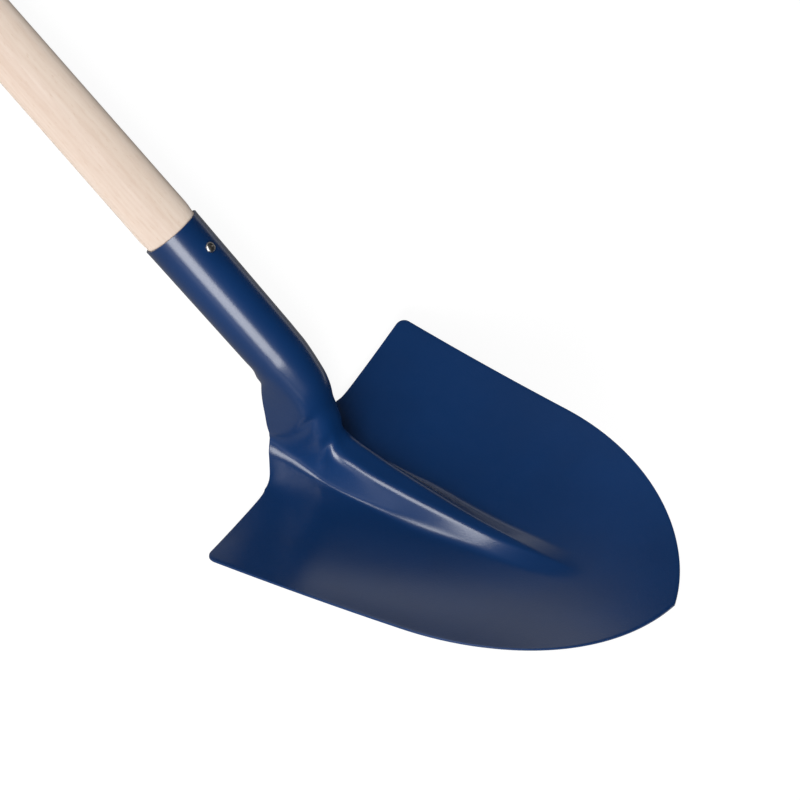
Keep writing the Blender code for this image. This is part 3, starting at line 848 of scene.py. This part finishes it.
def coating(settings):
    """Dark blue stove enamel on steel, with a faint orange peel."""
    material, tree, shader = new_material("blue_coating")
    at = add(tree, "ShaderNodeTexCoord").outputs["Object"]
    patches = cloudy(tree, at, scale=14.0, detail=2.0, start=0.3, end=0.7)
    tint = blended(tree, patches, rgba(settings.colour, share=0.88), rgba(settings.colour))
    tree.links.new(tint, shader.inputs["Base Color"])
    glossiest, dullest = settings.roughness - 0.03, settings.roughness + 0.04
    dull = cloudy(tree, at, scale=90.0, detail=4.0, start=0.25, end=0.75, low=glossiest, high=dullest)
    tree.links.new(dull, shader.inputs["Roughness"])
    peel = math_of(tree, "MULTIPLY", noise(tree, at, scale=700.0, detail=1.0), 0.5)
    height = math_of(tree, "ADD", peel, noise(tree, at, scale=55.0, detail=1.0))
    uneven(tree, shader, height, strength=settings.orange_peel, distance=0.0006)
    shader.inputs["Specular IOR Level"].default_value = 0.12
    shader.inputs["Coat Weight"].default_value = 1.0
    shader.inputs["Coat Roughness"].default_value = 0.24
    return material


def beech(settings):
    """Pale turned beech: long growth lines, soft pink and yellow streaks, and short dark rays."""
    material, tree, shader = new_material("pale_beech")
    at = add(tree, "ShaderNodeTexCoord").outputs["Object"]
    slope = math.atan2(-HANDLE_END["axis"][2], -HANDLE_END["axis"][0])
    along = mapped(tree, at, rotation=(0.0, slope, 0.0))
    long = mapped(tree, along, scale=(0.06, 1.0, 1.0))
    short = mapped(tree, along, scale=(0.14, 1.0, 1.0))

    # The growth rings run round the heart of the tree, which lies beside the pole.
    heart = mapped(tree, long, location=(0.0, 0.045, 0.02))
    waves = {"Vector": heart, "Scale": 95.0, "Distortion": 2.2, "Detail": 2.0, "Detail Scale": 0.6}
    rings = add(tree, "ShaderNodeTexWave", waves, wave_type="RINGS", rings_direction="X").outputs["Fac"]
    streaks = cloudy(tree, long, scale=130.0, detail=3.0, start=0.35, end=0.7)
    flecks = cloudy(tree, short, scale=420.0, detail=3.0, start=0.45, end=0.75, roughness=0.65)
    rays = cloudy(tree, short, scale=1400.0, detail=1.0, start=0.66, end=0.76)
    sway = cloudy(tree, long, scale=9.0, detail=2.0, start=0.35, end=0.65)
    base = blended(tree, sway, rgba(settings.pink), rgba(settings.yellow))
    for mark, strength, colour in (
        (rings, 0.14, settings.late_wood),
        (streaks, 0.2, settings.late_wood),
        (flecks, 0.3, settings.late_wood),
        (rays, 0.5, settings.ray),
    ):
        base = blended(tree, math_of(tree, "MULTIPLY", mark, strength), base, rgba(colour))
    tree.links.new(base, shader.inputs["Base Color"])
    dull = cloudy(tree, long, scale=500.0, detail=2.0, start=0.2, end=0.8, low=0.5, high=0.66)
    tree.links.new(dull, shader.inputs["Roughness"])
    shader.inputs["Diffuse Roughness"].default_value = 1.0
    height = math_of(tree, "SUBTRACT", noise(tree, long, scale=900.0), rays)
    uneven(tree, shader, height, strength=0.12, distance=0.0003)
    return material


def steel(settings):
    """Bright zinc on a steel screw."""
    material, tree, shader = new_material("screw_steel")
    at = add(tree, "ShaderNodeTexCoord").outputs["Object"]
    patches = cloudy(tree, at, scale=900.0, detail=3.0, start=0.3, end=0.7)
    tint = blended(tree, patches, rgba(settings.colour, share=0.7), rgba(settings.colour))
    tree.links.new(tint, shader.inputs["Base Color"])
    dull = cloudy(tree, at, scale=900.0, detail=3.0, start=0.2, end=0.8, low=0.28, high=0.42)
    tree.links.new(dull, shader.inputs["Roughness"])
    uneven(tree, shader, noise(tree, at, scale=5000.0), strength=0.15, distance=0.0001)
    shader.inputs["Metallic"].default_value = 1.0
    return material


def colour_property(name, colour, description):
    """A colour that a user can change."""
    return bpy.props.FloatVectorProperty(
        name=name, description=description, default=colour, size=3, min=0.0, max=1.0, subtype="COLOR"
    )


def size_property(name, size, description):
    """A length that a user can change, in metres."""
    return bpy.props.FloatProperty(
        name=name,
        description=description,
        default=size,
        min=0.0,
        precision=4,
        subtype="DISTANCE",
        unit="LENGTH",
    )


def power_property(name, power, description):
    """The power of a lamp that a user can change, in watts."""
    return bpy.props.FloatProperty(name=name, description=description, default=power, min=0.0, unit="POWER")


def share_property(name, share, description):
    """A share from 0 to 1 that a user can change."""
    return bpy.props.FloatProperty(
        name=name, description=description, default=share, min=0.0, max=1.0, subtype="FACTOR"
    )


class ShovelHeadSettings(bpy.types.PropertyGroup):
    """What a user can change on the head."""

    sheet: size_property("Sheet", SHEET * MM, "Thickness of the steel sheet")
    rim: size_property("Rim rounding", RIM_RADIUS * MM, "Radius of the rounded rim of the sheet")
    colour: colour_property("Enamel", (0.002, 0.026, 0.104), "Colour of the stove enamel")
    roughness: share_property("Roughness", 0.48, "How dull the enamel is under its gloss")
    orange_peel: share_property("Orange peel", 0.5, "How uneven the enamel is")


class ShovelHandleSettings(bpy.types.PropertyGroup):
    """What a user can change on the handle."""

    pink: colour_property("Pink beech", (0.62, 0.51, 0.44), "The warmer of the wood's two main tones")
    yellow: colour_property("Yellow beech", (0.66, 0.575, 0.495), "The lighter of the wood's two main tones")
    late_wood: colour_property("Late wood", (0.52, 0.38, 0.29), "The darker lines of the growth rings")
    ray: colour_property("Rays", (0.5, 0.36, 0.25), "The short dark rays that mark beech")


class ShovelScrewSettings(bpy.types.PropertyGroup):
    """What a user can change on the screw."""

    head_radius: size_property("Head radius", SCREW_HEAD_RADIUS * MM, "Radius of the screw's head")
    head_height: size_property("Head height", SCREW_HEAD_HEIGHT * MM, "Height of the screw's head")
    recess_width: size_property("Slot width", RECESS_WIDTH * MM, "Width of the cross slot")
    colour: colour_property("Zinc", (0.62, 0.60, 0.57), "Colour of the plating")


class ShovelStageSettings(bpy.types.PropertyGroup):
    """What a user can change on the stage."""

    floor: colour_property("Floor", (0.9, 0.9, 0.9), "Colour of the floor")
    key_light: power_property("Key light", 5.0, "Power of the high lamp to the left")
    low_light: power_property("Low light", 62.0, "Power of the lamp beside the shovel")
    back_light: power_property("Back light", 32.0, "Power of the lamp over the handle")
    room: share_property("Room light", 0.15, "Strength of the even light all round")


class SHOVEL_OT_head(bpy.types.Operator):
    """Make the head: blade, rib, neck and socket of one enamelled sheet"""

    bl_idname = "shovel.head"
    bl_label = "Make the head"
    bl_options = {"REGISTER", "UNDO"}

    def execute(self, context):
        settings = context.scene.shovel_head
        head = piece("head_sheet", head_face(), coating(settings), "head")
        wall = head.modifiers.new("sheet", "SOLIDIFY")
        wall.thickness = settings.sheet
        wall.offset = -1
        wall.use_even_offset = True
        cut_out(head, screw_hole(), screw_seat())
        rounded(head, "rim", settings.rim, 3)
        return {"FINISHED"}


class SHOVEL_OT_handle(bpy.types.Operator):
    """Make the handle: one turned beech pole"""

    bl_idname = "shovel.handle"
    bl_label = "Make the handle"
    bl_options = {"REGISTER", "UNDO"}

    def execute(self, context):
        settings = context.scene.shovel_handle
        place = axis_frame(HANDLE_START, SOCKET_AXIS_HEIGHT, False)
        pole = turned(handle_profile(), HANDLE_SEGMENTS)
        handle = piece("handle_pole", pole, beech(settings), "handle", place)
        cut_out(handle, screw_hole(), screw_seat())
        return {"FINISHED"}


class SHOVEL_OT_screw(bpy.types.Operator):
    """Make the cross-slot screw that holds the handle in the socket"""

    bl_idname = "shovel.screw"
    bl_label = "Make the screw"
    bl_options = {"REGISTER", "UNDO"}

    def execute(self, context):
        settings = context.scene.shovel_screw
        profile = screw_profile(settings.head_radius / MM, settings.head_height / MM)
        body = turned(profile, SCREW_SEGMENTS)
        seat = screw_seat()
        screw = piece("screw_cross_slot", body, steel(settings), "socket_screw", seat)
        top = seat @ Matrix.Translation((0.0, 0.0, settings.head_height))
        for turn in (0.0, math.pi / 2):
            cut_out(screw, slot_arm(settings), top @ Matrix.Rotation(turn, 4, "Z"))
        rounded(screw, "edges", SCREW_EDGE_RADIUS * MM, 2)
        return {"FINISHED"}


def lamp(name, power, size, azimuth, elevation):
    """A soft rectangular lamp, placed by its direction from the point that it faces."""
    light = bpy.data.lights.new(name, "AREA")
    light.shape = "RECTANGLE"
    light.size, light.size_y = size
    light.energy = power
    thing = bpy.data.objects.new(name, light)
    turn = math.radians(azimuth)
    rise = math.radians(elevation)
    away = Vector((math.cos(turn) * math.cos(rise), math.sin(turn) * math.cos(rise), math.sin(rise)))
    thing.location = lying() @ (Vector(LAMP_AIM) * MM) + away * LAMP_DISTANCE
    thing.rotation_euler = (-away).to_track_quat("-Z", "Y").to_euler()
    thing.visible_camera = False
    bpy.context.scene.collection.objects.link(thing)


def level_square(name, size, height, material):
    """A flat square of the stage, level with the ground."""
    mesh = bmesh.new()
    bmesh.ops.create_grid(mesh, x_segments=1, y_segments=1, size=size / 2)
    bmesh.ops.translate(mesh, vec=(0.0, 0.0, height), verts=mesh.verts)
    data = bpy.data.meshes.new(name)
    mesh.to_mesh(data)
    mesh.free()
    data.materials.append(material)
    thing = bpy.data.objects.new(name, data)
    bpy.context.scene.collection.objects.link(thing)
    return thing


def seen_as_background(tree, seen=1.0, reflected=FLOOR_REFLECTED[1]):
    """How bright the background is to the camera and through glass, and how bright in reflections."""
    path = add(tree, "ShaderNodeLightPath").outputs
    direct = math_of(tree, "MAXIMUM", path["Is Camera Ray"], path["Is Transmission Ray"])
    mirrored = math_of(tree, "MULTIPLY", path["Is Glossy Ray"], reflected)
    return math_of(tree, "ADD", math_of(tree, "MULTIPLY", direct, seen), mirrored)


def floor_material(settings):
    """A white floor that keeps a soft shadow near the shovel, and fades into the background far from it."""
    material, tree, shader = new_material("studio_floor")
    at = add(tree, "ShaderNodeTexCoord").outputs["Object"]
    distance = add(tree, "ShaderNodeVectorMath", {0: at}, operation="LENGTH").outputs["Value"]
    far = ranged(tree, distance, *FLOOR_FADE)
    own = blended(tree, far, rgba(settings.floor, FLOOR_SHARE), rgba(settings.floor, 0.0))
    tree.links.new(own, shader.inputs["Base Color"])
    shader.inputs["Roughness"].default_value = 0.9
    shader.inputs["Specular IOR Level"].default_value = 0.0
    seen = ranged(tree, far, 0.0, 1.0, *FLOOR_SEEN)
    reflected = ranged(tree, far, 0.0, 1.0, *FLOOR_REFLECTED)
    strength = seen_as_background(tree, seen, reflected)
    glow = add(tree, "ShaderNodeEmission", {"Color": rgba(WHITE), "Strength": strength})
    both = add(tree, "ShaderNodeAddShader", {0: shader.outputs["BSDF"], 1: glow.outputs["Emission"]})
    tree.links.new(both.outputs["Shader"], tree.nodes["Material Output"].inputs["Surface"])
    return material


def dark_ceiling():
    """A dark ceiling that is there for the enamel to reflect: the camera and soft light pass it by."""
    material, _, shader = new_material("studio_ceiling")
    shader.inputs["Base Color"].default_value = rgba(CEILING_COLOUR)
    shader.inputs["Roughness"].default_value = 1.0
    ceiling = level_square("studio_ceiling", CEILING_SIZE, CEILING_HEIGHT, material)
    ceiling.visible_camera = False
    ceiling.visible_diffuse = False
    ceiling.visible_shadow = False


def white_room(settings):
    """A world that is white where it is seen or reflected, and lights the shovel evenly and weakly."""
    world = bpy.data.worlds.new("studio_room")
    bpy.context.scene.world = world
    world.use_nodes = True
    tree = world.node_tree
    background = tree.nodes["Background"]
    background.inputs["Color"].default_value = rgba(WHITE)
    strength = math_of(tree, "MAXIMUM", seen_as_background(tree), settings.room)
    tree.links.new(strength, background.inputs["Strength"])


def photo_camera():
    """The camera at the photograph's viewing angle."""
    data = bpy.data.cameras.new("photo_camera")
    data.lens = CAMERA_LENS
    data.sensor_width = CAMERA_SENSOR
    data.clip_start = 0.1
    data.clip_end = 50.0
    camera = bpy.data.objects.new("photo_camera", data)
    bpy.context.scene.collection.objects.link(camera)
    eye = Vector(CAMERA_EYE) * MM
    target = Vector(CAMERA_AIM) * MM
    look = (target - eye).to_track_quat("-Z", "Y").to_matrix().to_4x4()
    roll = Matrix.Rotation(math.radians(CAMERA_ROLL), 4, "Z")
    camera.matrix_world = lying() @ Matrix.Translation(eye) @ look @ roll
    bpy.context.scene.camera = camera


class SHOVEL_OT_stage(bpy.types.Operator):
    """Set up the floor, the soft studio light and the camera"""

    bl_idname = "shovel.stage"
    bl_label = "Set the stage"
    bl_options = {"REGISTER", "UNDO"}

    def execute(self, context):
        settings = context.scene.shovel_stage
        for name, size, azimuth, elevation in LAMPS:
            lamp(name, getattr(settings, name), size, azimuth, elevation)
        level_square("studio_floor", FLOOR_SIZE, 0.0, floor_material(settings))
        dark_ceiling()
        white_room(settings)
        photo_camera()
        context.scene.view_settings.view_transform = "Standard"
        return {"FINISHED"}


class SHOVEL_PT_sidebar(bpy.types.Panel):
    """Makes the pieces of the shovel and its stage, one by one"""

    bl_idname = "SHOVEL_PT_sidebar"
    bl_label = "Pointed shovel"
    bl_space_type = "VIEW_3D"
    bl_region_type = "UI"
    bl_category = "Shovel"

    def draw(self, context):
        for operator, settings in OPERATORS:
            box = self.layout.box()
            box.operator(operator.bl_idname)
            group = getattr(context.scene, settings)
            for name in group.__annotations__:
                box.prop(group, name)


SETTINGS = {
    "shovel_head": ShovelHeadSettings,
    "shovel_handle": ShovelHandleSettings,
    "shovel_screw": ShovelScrewSettings,
    "shovel_stage": ShovelStageSettings,
}
OPERATORS = (
    (SHOVEL_OT_head, "shovel_head"),
    (SHOVEL_OT_handle, "shovel_handle"),
    (SHOVEL_OT_screw, "shovel_screw"),
    (SHOVEL_OT_stage, "shovel_stage"),
)


def register():
    """Adds the settings, the operators and the panel to Blender."""
    for name, group in SETTINGS.items():
        bpy.utils.register_class(group)
        setattr(bpy.types.Scene, name, bpy.props.PointerProperty(type=group))
    for operator, _ in OPERATORS:
        bpy.utils.register_class(operator)
    bpy.utils.register_class(SHOVEL_PT_sidebar)


def unregister():
    """Takes the panel, the operators and the settings away again."""
    bpy.utils.unregister_class(SHOVEL_PT_sidebar)
    for operator, _ in reversed(OPERATORS):
        bpy.utils.unregister_class(operator)
    for name, group in reversed(SETTINGS.items()):
        delattr(bpy.types.Scene, name)
        bpy.utils.unregister_class(group)


def main():
    """Makes the shovel and its stage."""
    register()
    bpy.ops.shovel.head()
    bpy.ops.shovel.handle()
    bpy.ops.shovel.screw()
    bpy.ops.shovel.stage()


if __name__ == "__main__":
    main()
